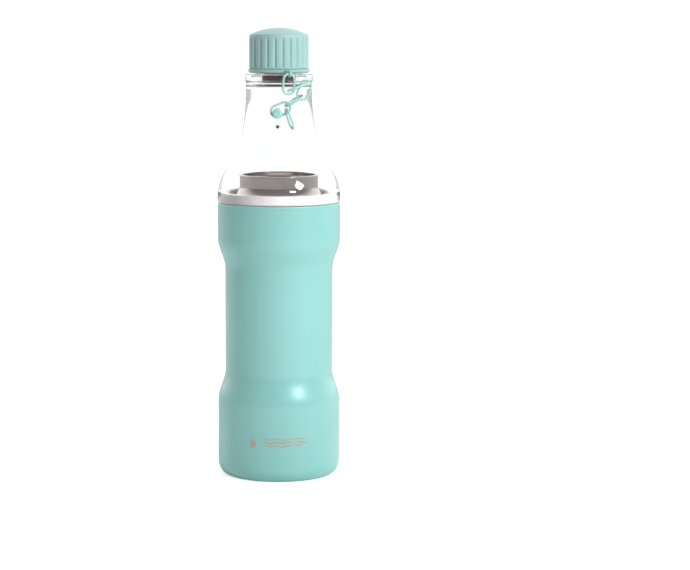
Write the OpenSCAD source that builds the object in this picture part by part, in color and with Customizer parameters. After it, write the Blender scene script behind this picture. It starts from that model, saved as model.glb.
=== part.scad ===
// Vacuum flask bottle: a waisted double-wall steel body, a clear moulded top that screws
// onto it, and a fluted screw cap held to the neck by a short link chain.
// The axis of the bottle is +Z, its foot stands on z = 0 and its front faces -Y.

/* [Steel body] */
// Height of the painted body up to the joint with the clear top
body_h = 163.2; // [150:0.2:200]
// Diameter of the two full barrels
body_d = 73; // [70:0.5:82]
// Diameter of the waist between the barrels
waist_d = 64.2; // [62:0.2:70]
// Height at which the lower barrel starts to draw in
lower_barrel_h = 44; // [30:1:55]
// Height of the upper barrel below the joint
upper_barrel_h = 21; // [16:1:35]
// Height over which a barrel draws in to the waist
waist_run = 19; // [12:1:28]
// Height of the rounded foot
foot_round_h = 8; // [4:0.5:12]
// How far the rounded foot draws in
foot_round_r = 5; // [3:0.5:8]
// Width of the flat ring that the body stands on
foot_land = 1.4; // [1:0.1:4]
// Thickness of the outer shell
shell_wall = 0.6; // [0.4:0.1:1.2]
// Thickness of the inner flask
liner_wall = 0.6; // [0.4:0.1:1.2]
// Vacuum gap between shell and flask at the waist
vacuum_gap = 2.4; // [1.6:0.1:4]
// Rounding of the inner flask's bottom corner
liner_round = 6; // [3:0.5:10]
// Height of the inner flask's floor above the table
liner_floor_h = 6; // [5.8:0.1:12]

/* [Steel neck] */
// Outer diameter of the steel neck
steel_neck_d = 46.6; // [40:0.2:50]
// Height of the steel neck's lip above the painted body
steel_neck_h = 16; // [14:0.2:26]
// Thickness of the shoulder pressing
shoulder_wall = 0.8; // [0.5:0.1:1.2]
// Radius of the hollow fillet between neck and shoulder
shoulder_fillet = 5; // [3:0.2:6]
// Height of the threaded skirt under the shoulder
skirt_h = 4.2; // [4:0.1:6]
// Thickness and outward roll of the lip
lip_t = 0.8; // [0.5:0.1:1.2]

/* [Clear top] */
// Height of the clear top from the joint to its top flange
top_h = 75.8; // [65:0.2:95]
// Outer diameter of the narrow neck
neck_d = 39.2; // [38:0.2:44]
// Wall of the clear top
top_wall = 2.6; // [1.8:0.1:3.2]
// How straight the outline leaves the joint
shoulder_pull = 24.5; // [15:0.5:30]
// How straight the outline enters the neck
neck_pull = 50; // [35:0.5:55]
// Visible seam between the body and the clear top
seam = 0.4; // [0.2:0.1:0.8]
// Diameter of the flange below the cap
flange_d = 40.4; // [38.6:0.2:46]
// Thickness of that flange
flange_t = 4; // [2:0.2:6]
// Height of the relief under the flange
relief_h = 3.6; // [2:0.2:5]
// Drop of the neck's inner ceiling below the flange
ceiling_drop = 2.4; // [1:0.1:3.2]
// Diameter of the mouth's bore
bore_d = 21.8; // [18:0.2:22]
// Outer diameter of the threaded mouth, without its thread
finish_d = 27.2; // [26.6:0.1:27.4]
// Height of the threaded mouth above the flange
finish_h = 10.5; // [10:0.1:12]

/* [Cap] */
// Diameter of the cap over its flutes
cap_d = 35.2; // [35:0.1:38]
// Height of the cap from flange to crown
cap_h = 27.2; // [25:0.2:34]
// Height of the crown above the flutes
crown_h = 4.6; // [3:0.1:6]
// Rounding of the edge under the crown
cap_edge = 1.4; // [0.8:0.1:2]
// Thickness of the cap's outer shell
cap_wall = 1.6; // [1.2:0.1:1.8]
// Number of flutes round the cap
flutes = 24; // [16:1:32]
// Radius of the cutter that makes a flute
flute_r = 0.9; // [0.6:0.1:1.2]
// Depth of a flute
flute_depth = 0.6; // [0.3:0.1:0.8]
// Thickness of the threaded insert's wall
insert_wall = 1; // [0.8:0.1:1.2]
// Thickness of the insert's top plate
insert_plate = 1.5; // [1:0.1:2.5]
// Thickness of the flat seal
seal_t = 1.15; // [0.8:0.05:1.6]
// Wall of the hollow plug that enters the mouth
plug_wall = 1.6; // [1:0.1:2.5]
// How far the plug reaches below the flange's top face
plug_reach = 3.5; // [2:0.1:6]
// Section diameter of the ring seal on the plug
ring_seal_t = 1.6; // [1.2:0.1:2]

/* [Tether] */
// Length of a chain link
link_len = 13.2; // [12.8:0.1:13.6]
// Width of a chain link
link_wid = 8.2; // [8:0.1:8.6]
// Thickness of a link's wire
link_wire = 1.5; // [1.2:0.05:1.6]
// Distance between the end wires of two joined links
link_play = 2.1; // [2:0.05:2.3]
// Turn of the chain round the bottle, away from the front
chain_turn = 21; // [15:1:40]
// Turn of the stud round the bottle, away from the front
stud_turn = -2; // [-8:1:4]
// Clear distance of the chain from the flange
chain_stand = 3.8; // [3.8:0.1:6]
// Diameter of the stud's head
stud_head_d = 6; // [5.8:0.1:7]
// Width of the anchor plate under the stud
plate_w = 4.2; // [3.6:0.1:6]

/* [Threads] */
// Axial travel of the cap in one turn
cap_lead = 8; // [6:0.5:10]
// Axial travel of the clear top in one turn
top_lead = 6; // [5:0.5:8]
// Height of a thread ridge at its root
ridge_root = 1.3; // [1:0.1:1.4]
// Height of a thread ridge at its crest
ridge_crest = 0.6; // [0.4:0.1:0.8]
// Depth of the cap's thread
cap_ridge = 0.95; // [0.6:0.05:1]
// Depth of the clear top's thread
top_ridge = 0.75; // [0.5:0.05:0.9]

/* [Fits] */
// Radial clearance between threads and between turning rings
turn_clear = 0.3; // [0.2:0.05:0.4]
// Clearance between pieces that are pressed or welded together
weld_clear = 0.05; // [0.02:0.01:0.1]

/* [Hidden] */
$fn = 96;

// Steel body
barrel_r = body_d / 2;
waist_r = waist_d / 2;
foot_r = barrel_r - foot_round_r;
upper_run_z = body_h - upper_barrel_h;
edge_r = 0.8;
base_r = foot_r - 0.3;
base_pan_r = base_r - 6;
base_pan_rise = 1.4;
dimple_r = 4;
dimple_rise = 1.2;
bead_r = 2.6;
cover_t = 0.5;
getter_r = 5;
getter_t = 1.2;

// Inner flask and steel neck
liner_r = waist_r - shell_wall - vacuum_gap;
neck_r = steel_neck_d / 2;
neck_in_r = neck_r - shoulder_wall;
liner_neck_r = neck_in_r - weld_clear;
lip_z = body_h + steel_neck_h;
land_z = body_h + skirt_h;
liner_run_z = upper_run_z + 5;

// Joint between the steel body and the clear top
collar_r = barrel_r + 0.1;
top_z = body_h + seam;
ring_out_r = collar_r - 1.3;
ring_wall = 1.35;
ring_in_r = ring_out_r - ring_wall;
skirt_r = ring_in_r - top_ridge - turn_clear;
gasket_t = 0.8;
ledge_t = 0.9;
ledge_z = land_z + gasket_t + 2 * weld_clear;
ring_top_z = ledge_z + ledge_t;
gasket_w = 2.2;
gasket_out_r = skirt_r - 0.5;
shell_lip_r = skirt_r + top_ridge + 0.9;

// Clear top and mouth
flange_z = body_h + top_h;
flange_low_z = flange_z - flange_t;
relief_z = flange_low_z - relief_h;
neck_out_r = neck_d / 2;
neck_bore_r = neck_out_r - top_wall;
ceiling_z = flange_low_z - ceiling_drop;
ceiling_round = 1.2;
bore_r = bore_d / 2;
finish_r = finish_d / 2;
finish_z = flange_z + finish_h;

// Cap
cap_gap = 0.6;
cap_low_z = flange_z + cap_gap;
spigot_z = cap_low_z + 2.6;
crown_z = flange_z + cap_h;
cap_edge_z = crown_z - crown_h;
insert_root_r = finish_r + cap_ridge + turn_clear;
insert_r = insert_root_r + insert_wall;
shell_in_r = insert_r + weld_clear;
cap_r = max(cap_d / 2, shell_in_r + cap_wall);
spigot_r = shell_in_r + 0.8;
bead_out_r = spigot_r + 0.45;
seal_z = finish_z + weld_clear;
insert_top_z = seal_z + seal_t + weld_clear;
plug_r = bore_r - 0.7;
plug_z = flange_z - plug_reach;
ring_seal_z = flange_z + 5;
ring_seal_gap = 0.1;
ring_wire = ring_seal_t - ring_seal_gap;
collar_in_r = spigot_r + turn_clear;
collar_out_r = collar_in_r + 1.15;
collar_h = 2.3;
bead_h = 0.6;

// How a thread's ridge is cut: its depth under the wall, its steps in a turn, its run-out in steps
ridge_sink = 0.25;
ridge_steps = 24;
ridge_fade = 3;

// Tether: places are [sideways, height] in a plane that stands off the bottle's axis
half_link = (link_len - link_wire) / 2;
chain_depth = flange_d / 2 + chain_stand;
hang_depth = chain_depth;
fold_depth = chain_depth + 0.6;
outer_depth = chain_depth + 1;
return_depth = chain_depth + 1.2;
stud_depth = chain_depth + 0.6;
hang_turn = -94.5;
fold_turn = 19.5;
outer_turn = -112.5;
return_turn = -150;
stud_link_turn = 23.5;
tail_turn = -71;
fold_roll = 82;
return_roll = 90;
tail_roll = 72;
hang_top = [-2.6, flange_z + 0.5];
fold_start = hang_top + (2 * half_link - link_play) * heading(hang_turn);
fold_end = fold_start + 2 * half_link * heading(fold_turn);
outer_start = fold_end - link_play * heading(outer_turn);
return_start = outer_start + (2 * half_link - link_play) * heading(outer_turn);
return_end = return_start + 2 * half_link * heading(return_turn);
turn_step = chain_turn - stud_turn;
return_foot = [return_end[0] * cos(turn_step) + return_depth * sin(turn_step), return_end[1]];
stud_link_mid = return_foot + [-3.1, -2.1];
tail_top = return_foot + [0.2, -1.9];
stud_place = stud_link_mid + [-1.8, -2];
stem_r = 1.25;
stem_gap = 0.35;
head_t = 1.6;
tab_r = 1.95;
tab_hole_r = 1.2;
tab_t = 1;
plate_top_z = stud_place[1] + 3.4;
plate_low_z = stud_place[1] - 10;
rivet_z = plate_low_z + 1.9;
rivet_r = 1;
rivet_t = 0.6;

// Points of an arc of an oval, from angle a0 to a1
function oval_arc(c, rx, rz, a0, a1, n = 8) =
    [for (i = [0:n]) let (a = a0 + (a1 - a0) * i / n) [c[0] + rx * cos(a), c[1] + rz * sin(a)]];
// Points of an arc of a circle
function arc(c, r, a0, a1, n = 8) = oval_arc(c, r, r, a0, a1, n);
// A smooth step from one radius and height to another
function s_curve(p, q, n = 14) =
    [for (i = [0:n]) let (t = i / n)
        [p[0] + (q[0] - p[0]) * (1 - cos(180 * t)) / 2, p[1] + (q[1] - p[1]) * t]];
// The curve between two upright tangents, each with its own pull
function upright_curve(p, q, pull_p, pull_q, n = 28) =
    [for (i = [0:n]) let (t = i / n, s = 1 - t)
        [p[0] * (s * s * s + 3 * s * s * t) + q[0] * (3 * s * t * t + t * t * t),
         p[1] * s * s * s + 3 * (p[1] + pull_p) * s * s * t
            + 3 * (q[1] - pull_q) * s * t * t + q[1] * t * t * t]];
// The crown of a cap: an arc of the given rise over the given radius, up to the axis
function crown(edge_r, edge_z, rise, n = 10) =
    let (r = (edge_r * edge_r + rise * rise) / (2 * rise), a = asin(edge_r / r))
    [for (i = [0:n]) let (b = a * (1 - i / n)) [r * sin(b), edge_z + rise - r + r * cos(b)]];
function heading(a) = [cos(a), sin(a)];
function inset(points, wall) = [for (p = points) [p[0] - wall, p[1]]];
function backwards(points) = [for (i = [len(points) - 1:-1:0]) points[i]];

// Outline of the painted barrels and waist, from the foot to the joint
function body_outline() = concat(
    s_curve([barrel_r, lower_barrel_h], [waist_r, lower_barrel_h + waist_run]),
    s_curve([waist_r, upper_run_z - waist_run], [barrel_r, upper_run_z]));

// Outline of the clear top, from the joint to the narrow neck
function top_outline() =
    upright_curve([collar_r, top_z + 0.5], [neck_out_r, relief_z], shoulder_pull, neck_pull);

// One ridge of a screw thread: it fades in and out, and climbs with the turn
module thread_ridge(root_r, crest_r, lead, z0, z1, phase) {
    foot_ridge_r = root_r < crest_r ? root_r - ridge_sink : root_r + ridge_sink;
    turns = (z1 - z0) / lead;
    steps = ceil(turns * ridge_steps);
    start = phase + 360 * z0 / lead;
    function fade(i) = max(0.08, min(1, i / ridge_fade, (steps - i) / ridge_fade));
    points = [for (i = [0:steps]) let (
            a = start + 360 * turns * i / steps,
            z = z0 + (z1 - z0) * i / steps,
            crest = root_r + (crest_r - root_r) * fade(i),
            w = ridge_root / 2,
            c = ridge_crest / 2)
        each [[foot_ridge_r * cos(a), foot_ridge_r * sin(a), z - w],
              [crest * cos(a), crest * sin(a), z - c],
              [crest * cos(a), crest * sin(a), z + c],
              [foot_ridge_r * cos(a), foot_ridge_r * sin(a), z + w]]];
    sides = [for (i = [0:steps - 1], k = [0:3]) let (p = 4 * i + k, q = 4 * i + (k + 1) % 4)
        each [[p, q, q + 4], [p, q + 4, p + 4]]];
    last = 4 * steps;
    ends = [[0, 3, 2], [0, 2, 1], [last, last + 1, last + 2], [last, last + 2, last + 3]];
    faces = concat(sides, ends);
    polyhedron(points, root_r < crest_r ? faces : [for (f = faces) [f[0], f[2], f[1]]]);
}

// The two ridges of a two-start thread
module thread(root_r, crest_r, lead, z0, z1, phase = 0)
    for (start = [0, 180]) thread_ridge(root_r, crest_r, lead, z0, z1, phase + start);

// Painted steel outer wall, turned in at the joint and under the foot
module outer_shell() color([0.5, 0.79, 0.75]) rotate_extrude() {
    foot = [foot_r, foot_round_h];
    edge = [barrel_r - edge_r, body_h - edge_r];
    polygon(concat(
        [[foot_r - foot_land, shell_wall], [foot_r - foot_land, 0]],
        oval_arc(foot, foot_round_r, foot_round_h, -90, 0),
        body_outline(),
        arc(edge, edge_r, 0, 90, 5),
        [[shell_lip_r, body_h], [shell_lip_r, body_h - shell_wall]],
        arc(edge, edge_r - shell_wall, 90, 0, 5),
        backwards(inset(body_outline(), shell_wall)),
        oval_arc(foot, foot_round_r - shell_wall, foot_round_h - shell_wall, 0, -90)));
}

// Steel base welded on the turned-in foot, with a pan and a dimple for the seal
module outer_base() color([0.75, 0.76, 0.76]) {
    rim_z = shell_wall + weld_clear;
    pan_z = rim_z + base_pan_rise;
    rotate_extrude() polygon([
        [base_r, rim_z], [base_r, rim_z + shell_wall], [base_pan_r, rim_z + shell_wall],
        [base_pan_r - 1, pan_z + shell_wall], [dimple_r, pan_z + shell_wall],
        [dimple_r - 1, pan_z + shell_wall + dimple_rise], [0, pan_z + shell_wall + dimple_rise],
        [0, pan_z + dimple_rise], [dimple_r - 1.6, pan_z + dimple_rise],
        [dimple_r - 0.6, pan_z], [base_pan_r - 1.6, pan_z], [base_pan_r - 0.6, rim_z]]);
}

// Thin cover glued into the base's pan
module base_cover() color([0.5, 0.79, 0.75])
    translate([0, 0, shell_wall + base_pan_rise - cover_t]) cylinder(h = cover_t, r = base_pan_r - 1.8);

// Solder bead that closes the evacuation hole in the dimple
module seal_bead() color([0.35, 0.33, 0.3])
    translate([0, 0, shell_wall + 2 * weld_clear + base_pan_rise]) intersection() {
        cylinder(h = dimple_rise - 0.3, r = bead_r, $fn = 96);
        translate([0, 0, -bead_r + dimple_rise - 0.3]) sphere(r = bead_r, $fn = 96);
    }

// Getter pellet fixed under the inner flask, inside the vacuum
module getter() color([0.45, 0.45, 0.47])
    translate([getter_r + 4, 0, liner_floor_h - getter_t]) cylinder(h = getter_t, r = getter_r);

// Straight wall of the inner flask
module inner_flask() color([0.78, 0.78, 0.77]) rotate_extrude()
    translate([liner_r - liner_wall, liner_floor_h + liner_round])
        square([liner_wall, liner_run_z - weld_clear - liner_floor_h - liner_round]);

// Upper part of the inner flask, drawn in to the neck and rolled over at its lip
module flask_neck() color([0.78, 0.78, 0.77]) rotate_extrude() {
    draw = s_curve([liner_r, liner_run_z], [liner_neck_r, land_z - 1]);
    polygon(concat(
        draw,
        [[liner_neck_r, lip_z - lip_t], [neck_r + 0.1, lip_z - lip_t]],
        arc([neck_r + 0.1, lip_z - lip_t / 2], lip_t / 2, -90, 90, 6),
        arc([liner_neck_r - liner_wall + 0.5, lip_z - 0.5], 0.5, 90, 180, 4),
        backwards(inset(draw, liner_wall))));
}

// Rounded floor of the inner flask
module flask_floor() color([0.78, 0.78, 0.77]) rotate_extrude() {
    corner = [liner_r - liner_round, liner_floor_h + liner_round];
    polygon(concat(
        [[0, liner_floor_h]],
        arc(corner, liner_round, -90, 0),
        arc(corner, liner_round - liner_wall, 0, -90),
        [[0, liner_floor_h + liner_wall]]));
}

// Polished pressing that joins shell and flask: threaded skirt, shoulder and neck
module steel_shoulder() color([0.72, 0.71, 0.7]) {
    fillet = [neck_r + shoulder_fillet, land_z + shoulder_fillet];
    foot_z = body_h - shell_wall - weld_clear;
    rotate_extrude() polygon(concat(
        [[shell_lip_r + 0.8, foot_z - shoulder_wall], [shell_lip_r + 0.8, foot_z], [skirt_r, foot_z]],
        arc([skirt_r - 0.6, land_z - 0.6], 0.6, 0, 90, 4),
        arc(fillet, shoulder_fillet, -90, -180),
        [[neck_r, lip_z - lip_t - weld_clear], [neck_in_r, lip_z - lip_t - weld_clear]],
        arc(fillet, shoulder_fillet + shoulder_wall, -180, -90),
        [[skirt_r - shoulder_wall, land_z - shoulder_wall],
         [skirt_r - shoulder_wall, foot_z - shoulder_wall]]));
    thread(skirt_r, skirt_r + top_ridge, top_lead, body_h + 0.9, land_z - 0.9);
}

// Flat silicone gasket between the shoulder and the clear top
module joint_gasket() color([0.92, 0.92, 0.9])
    translate([0, 0, land_z + weld_clear]) difference() {
        cylinder(h = gasket_t, r = gasket_out_r);
        translate([0, 0, -1]) cylinder(h = gasket_t + 2, r = gasket_out_r - gasket_w);
    }

// Clear bottle top: collar, shoulder, neck, flange and threaded mouth
module clear_top() color([0.93, 0.95, 0.96, 0.35]) {
    inner = [for (p = top_outline())
        if (p[1] > ring_top_z + 0.6 && p[1] < ceiling_z - ceiling_round) [p[0] - top_wall, p[1]]];
    rotate_extrude() polygon(concat(
        [[ring_out_r + weld_clear, top_z], [collar_r - 0.5, top_z]],
        top_outline(),
        arc([neck_out_r + 0.6, flange_low_z - 0.8], 0.6, 180, 90, 4),
        arc([flange_d / 2 - 0.4, flange_low_z + 0.4], 0.4, -90, 0, 4),
        arc([flange_d / 2 - 0.6, flange_z - 0.6], 0.6, 0, 90, 4),
        [[finish_r, flange_z], [finish_r, finish_z - 0.4], [finish_r - 0.4, finish_z]],
        arc([bore_r + 0.5, finish_z - 0.5], 0.5, 90, 180, 4),
        arc([bore_r + 1, ceiling_z + 1], 1, 180, 270, 4),
        arc([neck_bore_r - ceiling_round, ceiling_z - ceiling_round], ceiling_round, 90, 0, 6),
        backwards(inner),
        [[collar_r - top_wall - 0.2, ring_top_z + weld_clear],
         [ring_out_r + weld_clear, ring_top_z + weld_clear]]));
    thread(finish_r, finish_r + cap_ridge, cap_lead, flange_z + 2.6, finish_z - 2);
}

// Threaded ring welded inside the collar, with the ledge that presses the gasket
module thread_ring() color([0.86, 0.88, 0.89, 0.7]) {
    rotate_extrude() polygon([
        [ring_in_r, top_z + 0.3], [ring_out_r - 0.3, top_z + 0.3], [ring_out_r, top_z + 0.6],
        [ring_out_r, ring_top_z], [gasket_out_r - gasket_w - 0.3, ring_top_z],
        [gasket_out_r - gasket_w - 0.3, ledge_z], [ring_in_r, ledge_z]]);
    thread(ring_in_r, ring_in_r - top_ridge, top_lead, top_z + 1.3, ledge_z - 0.9, -90);
}

// Fluted outer shell of the cap, with a spigot for the tether collar
module cap_shell() color([0.55, 0.83, 0.8]) difference() {
    rotate_extrude() polygon(concat(
        [[shell_in_r, cap_low_z], [bead_out_r - 0.2, cap_low_z], [bead_out_r, cap_low_z + 0.2],
         [bead_out_r, cap_low_z + bead_h], [spigot_r, cap_low_z + bead_h], [spigot_r, spigot_z],
         [cap_r - 0.3, spigot_z], [cap_r, spigot_z + 0.3]],
        arc([cap_r - cap_edge, cap_edge_z - 0.4], cap_edge, 0, 70, 6),
        crown(cap_r - cap_edge, cap_edge_z + 1, crown_h - 1),
        backwards(crown(shell_in_r, cap_edge_z - 1, crown_h + 1 - cap_wall))));
    for (i = [0:flutes - 1]) rotate([0, 0, (i + 0.5) * 360 / flutes])
        translate([cap_r + flute_r - flute_depth, 0, spigot_z + 1]) {
            cylinder(h = cap_edge_z - spigot_z - 3, r = flute_r, $fn = 24);
            translate([0, 0, cap_edge_z - spigot_z - 3]) sphere(r = flute_r, $fn = 24);
        }
}

// Threaded insert pressed into the cap shell
module cap_insert() color([0.9, 0.93, 0.92]) {
    rotate_extrude() polygon([
        [insert_root_r, cap_low_z + 0.4], [insert_r, cap_low_z + 0.4],
        [insert_r, insert_top_z + insert_plate], [0, insert_top_z + insert_plate],
        [0, insert_top_z], [insert_root_r, insert_top_z]]);
    thread(insert_root_r, insert_root_r - cap_ridge, cap_lead, cap_low_z + 1.8, insert_top_z - 3.4, -90);
}

// Flat seal that the insert presses on the mouth's rim
module cap_seal() color([0.95, 0.95, 0.93])
    translate([0, 0, seal_z]) difference() {
        cylinder(h = seal_t, r = finish_r + 0.6);
        translate([0, 0, -1]) cylinder(h = seal_t + 2, r = plug_r + 0.2);
    }

// Hollow dark plug on the insert that enters the mouth, grooved for its ring seal
module mouth_plug() color([0.2, 0.14, 0.1]) rotate_extrude() {
    groove = ring_seal_t / 2;
    groove_depth = plug_r - bore_r + ring_seal_gap + ring_wire + weld_clear;
    polygon([
        [plug_r - plug_wall, plug_z], [plug_r - 0.6, plug_z], [plug_r, plug_z + 0.6],
        [plug_r, ring_seal_z - groove], [plug_r - groove_depth, ring_seal_z - groove],
        [plug_r - groove_depth, ring_seal_z + groove], [plug_r, ring_seal_z + groove],
        [plug_r, insert_top_z - weld_clear], [plug_r - plug_wall, insert_top_z - weld_clear]]);
}

// Silicone ring in the plug's groove
module plug_ring_seal() color([0.9, 0.9, 0.88])
    rotate_extrude() translate([bore_r - ring_seal_gap - ring_wire / 2, ring_seal_z])
        circle(d = ring_wire, $fn = 32);

// Radius of the clear neck's outside at a given height
function neck_surface(z) = lookup(z, [for (p = top_outline()) [p[1], p[0]]]);

// Puts its children at a place in a plane that is turned round the bottle and stands off its axis
module on_plane(turn, depth, place) rotate([0, 0, turn]) translate([place[0], -depth, place[1]]) children();

// One oval chain link, its long side along X and its face towards -Y
module link() color([0.47, 0.8, 0.77]) rotate([90, 0, 0]) {
    end_r = (link_wid - link_wire) / 2;
    straight = link_len - link_wid;
    for (side = [0, 180]) rotate([0, 0, side]) {
        translate([straight / 2, 0, 0]) rotate([0, 0, -90])
            rotate_extrude(angle = 180) translate([end_r, 0]) circle(d = link_wire, $fn = 32);
        translate([-straight / 2, end_r, 0]) rotate([0, 90, 0])
            cylinder(h = straight, d = link_wire, $fn = 32);
    }
}

// A link laid from its end wire at a place, along a heading, rolled about its own length
module link_from(turn, depth, start, angle, roll)
    on_plane(turn, depth, start + half_link * heading(angle))
        rotate([0, -angle, 0]) rotate([roll, 0, 0]) link();

// Ring that turns freely on the cap's spigot, with the tab that the chain hangs from
module tether_collar() color([0.5, 0.8, 0.79]) difference() {
    low = cap_low_z + 0.1;
    tab_root = collar_out_r - 0.6;
    union() {
        rotate_extrude() polygon([
            [bead_out_r + turn_clear, low], [collar_out_r - 0.5, low], [collar_out_r, low + 0.7],
            [collar_out_r, low + collar_h - 0.3], [collar_out_r - 0.3, low + collar_h],
            [collar_in_r, low + collar_h], [collar_in_r, cap_low_z + bead_h + turn_clear],
            [bead_out_r + turn_clear, cap_low_z + bead_h + turn_clear]]);
        on_plane(chain_turn, hang_depth, hang_top) rotate([0, 90, 0])
            cylinder(h = tab_t, r = tab_r, center = true, $fn = 48);
        on_plane(chain_turn, hang_depth, [hang_top[0], low + 0.2]) translate([-tab_t / 2, 0, 0])
            cube([tab_t, hang_depth - tab_root, hang_top[1] + tab_r - low - 0.2]);
    }
    on_plane(chain_turn, hang_depth, hang_top) rotate([0, 90, 0])
        cylinder(h = tab_t + 2, r = tab_hole_r, center = true, $fn = 48);
}

// Clear plate welded on the neck, which carries the stud and the rivet
module anchor_plate() color([0.9, 0.93, 0.94, 0.5]) {
    face = neck_surface(plate_low_z) + 0.8;
    difference() {
        on_plane(stud_turn, face, [stud_place[0] - plate_w / 2, plate_low_z])
            cube([plate_w, face - neck_surface(plate_top_z) + 2, plate_top_z - plate_low_z]);
        rotate_extrude() polygon(concat([[0, top_z]], top_outline(), [[0, relief_z]]));
    }
}

// Stud with a domed head that keeps the stud link
module anchor_stud() color([0.3, 0.6, 0.55]) {
    face = neck_surface(plate_low_z) + 0.8;
    head = stud_depth + link_wire / 2 + stem_gap;
    on_plane(stud_turn, head, stud_place) rotate([90, 0, 0]) {
        translate([0, 0, face - head]) cylinder(h = head - face + 0.2, r = stem_r, $fn = 48);
        rotate_extrude($fn = 48) polygon(concat(
            [[0, 0], [stud_head_d / 2 - 0.3, 0], [stud_head_d / 2, 0.3]],
            oval_arc([0, 0.6], stud_head_d / 2, head_t - 0.6, 0, 90, 6)));
    }
}

// Small rivet at the foot of the anchor plate
module anchor_rivet() color([0.25, 0.22, 0.2]) {
    face = neck_surface(plate_low_z) + 0.8;
    on_plane(stud_turn, face, [stud_place[0], rivet_z]) rotate([90, 0, 0])
        rotate_extrude($fn = 48)
            polygon(concat([[0, 0]], oval_arc([0, 0.2], rivet_r, rivet_t - 0.2, 0, 90, 5)));
}

// The chain, from the collar's tab to the stud, and the loose link at its end
module hanger_link() link_from(chain_turn, hang_depth, hang_top, hang_turn, 0);
module fold_link() link_from(chain_turn, fold_depth, fold_start, fold_turn, fold_roll);
module outer_link() link_from(chain_turn, outer_depth, outer_start, outer_turn, 0);
module return_link() link_from(chain_turn, return_depth, return_start, return_turn, return_roll);
module stud_link() on_plane(stud_turn, stud_depth, stud_link_mid) rotate([0, -stud_link_turn, 0]) link();
module tail_link() link_from(stud_turn, stud_depth, tail_top, tail_turn, tail_roll);

outer_shell();
outer_base();
base_cover();
seal_bead();
getter();
inner_flask();
flask_neck();
flask_floor();
steel_shoulder();
joint_gasket();
clear_top();
thread_ring();
cap_shell();
cap_insert();
cap_seal();
mouth_plug();
plug_ring_seal();
tether_collar();
anchor_plate();
anchor_stud();
anchor_rivet();
hanger_link();
fold_link();
outer_link();
return_link();
stud_link();
tail_link();
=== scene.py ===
"""Looks of a waisted steel flask bottle with a clear screw-on top, a fluted cap and a link chain."""

import logging
import math
from dataclasses import dataclass, field
from enum import Enum

import bmesh
import bpy
from mathutils import Matrix, Vector


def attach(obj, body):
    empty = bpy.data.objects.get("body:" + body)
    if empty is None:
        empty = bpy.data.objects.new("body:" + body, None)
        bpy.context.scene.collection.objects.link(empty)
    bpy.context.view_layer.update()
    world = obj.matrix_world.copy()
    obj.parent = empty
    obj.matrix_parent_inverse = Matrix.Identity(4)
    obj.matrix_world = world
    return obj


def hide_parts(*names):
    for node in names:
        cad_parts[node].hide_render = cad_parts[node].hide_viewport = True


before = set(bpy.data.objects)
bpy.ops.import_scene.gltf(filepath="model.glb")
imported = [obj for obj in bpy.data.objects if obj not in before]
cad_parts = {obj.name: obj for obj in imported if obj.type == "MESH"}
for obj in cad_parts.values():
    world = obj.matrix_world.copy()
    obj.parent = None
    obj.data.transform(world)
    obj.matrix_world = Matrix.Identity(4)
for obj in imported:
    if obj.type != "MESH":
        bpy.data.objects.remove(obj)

log = logging.getLogger("flask")

MM = 0.001
Point = tuple[float, float]
Outline = list[Point]
Colour = tuple[float, float, float]

# A quarter turn about X, which lays a shape made along Z on its side
ON_ITS_SIDE = Matrix.Rotation(math.radians(90), 4, "X")

# A thread's ridge: its depth under the wall, steps in a turn, run-out in steps and rounding of its crest
RIDGE_SINK, RIDGE_STEPS, RIDGE_FADE, RIDGE_CROWN = 0.25, 72, 9, 0.04


# ---------------------------------------------------------------- outlines


def oval_arc(centre: Point, rx: float, rz: float, a0: float, a1: float, n: int = 16) -> Outline:
    """Points of an arc of an oval.

    Args:
        centre: Centre of the oval, as (radius, height) in millimetres.
        rx: Half width of the oval.
        rz: Half height of the oval.
        a0: First angle in degrees.
        a1: Last angle in degrees.
        n: Number of steps.

    Returns:
        The points from a0 to a1.
    """
    angles = [math.radians(a0 + (a1 - a0) * i / n) for i in range(n + 1)]
    return [(centre[0] + rx * math.cos(a), centre[1] + rz * math.sin(a)) for a in angles]


def arc(centre: Point, r: float, a0: float, a1: float, n: int = 10) -> Outline:
    """Points of an arc of a circle, with the arguments of oval_arc and one radius."""
    return oval_arc(centre, r, r, a0, a1, n)


def s_curve(p: Point, q: Point, n: int = 44) -> Outline:
    """A smooth step from one radius and height to another.

    Args:
        p: Where it starts.
        q: Where it ends.
        n: Number of steps.

    Returns:
        The points from p to q.
    """
    steps = [i / n for i in range(n + 1)]
    return [(p[0] + (q[0] - p[0]) * (1 - math.cos(math.pi * t)) / 2, p[1] + (q[1] - p[1]) * t) for t in steps]


def upright_curve(p: Point, q: Point, pull_p: float, pull_q: float, n: int = 84) -> Outline:
    """The curve between two upright tangents.

    Args:
        p: Lower end.
        q: Upper end.
        pull_p: How far the lower end holds upright.
        pull_q: How far the upper end holds upright.
        n: Number of steps.

    Returns:
        The points from p to q.
    """
    points = []
    for i in range(n + 1):
        t = i / n
        s = 1 - t
        a, b, c, d = s**3, 3 * s * s * t, 3 * s * t * t, t**3
        points.append((p[0] * (a + b) + q[0] * (c + d),
                       p[1] * a + (p[1] + pull_p) * b + (q[1] - pull_q) * c + q[1] * d))
    return points


def crown(edge_r: float, edge_z: float, rise: float, n: int = 24) -> Outline:
    """The crown of a cap, from its edge up to the axis.

    Args:
        edge_r: Radius at the edge.
        edge_z: Height of the edge.
        rise: Height of the crown over its edge.
        n: Number of steps.

    Returns:
        The points from the edge to the axis.
    """
    r = (edge_r * edge_r + rise * rise) / (2 * rise)
    a = math.asin(edge_r / r)
    angles = [a * (1 - i / n) for i in range(n + 1)]
    return [(r * math.sin(b), edge_z + rise - r + r * math.cos(b)) for b in angles]


def inset(points: Outline, wall: float) -> Outline:
    """The same outline, drawn in by a wall's thickness."""
    return [(r - wall, z) for r, z in points]


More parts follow.
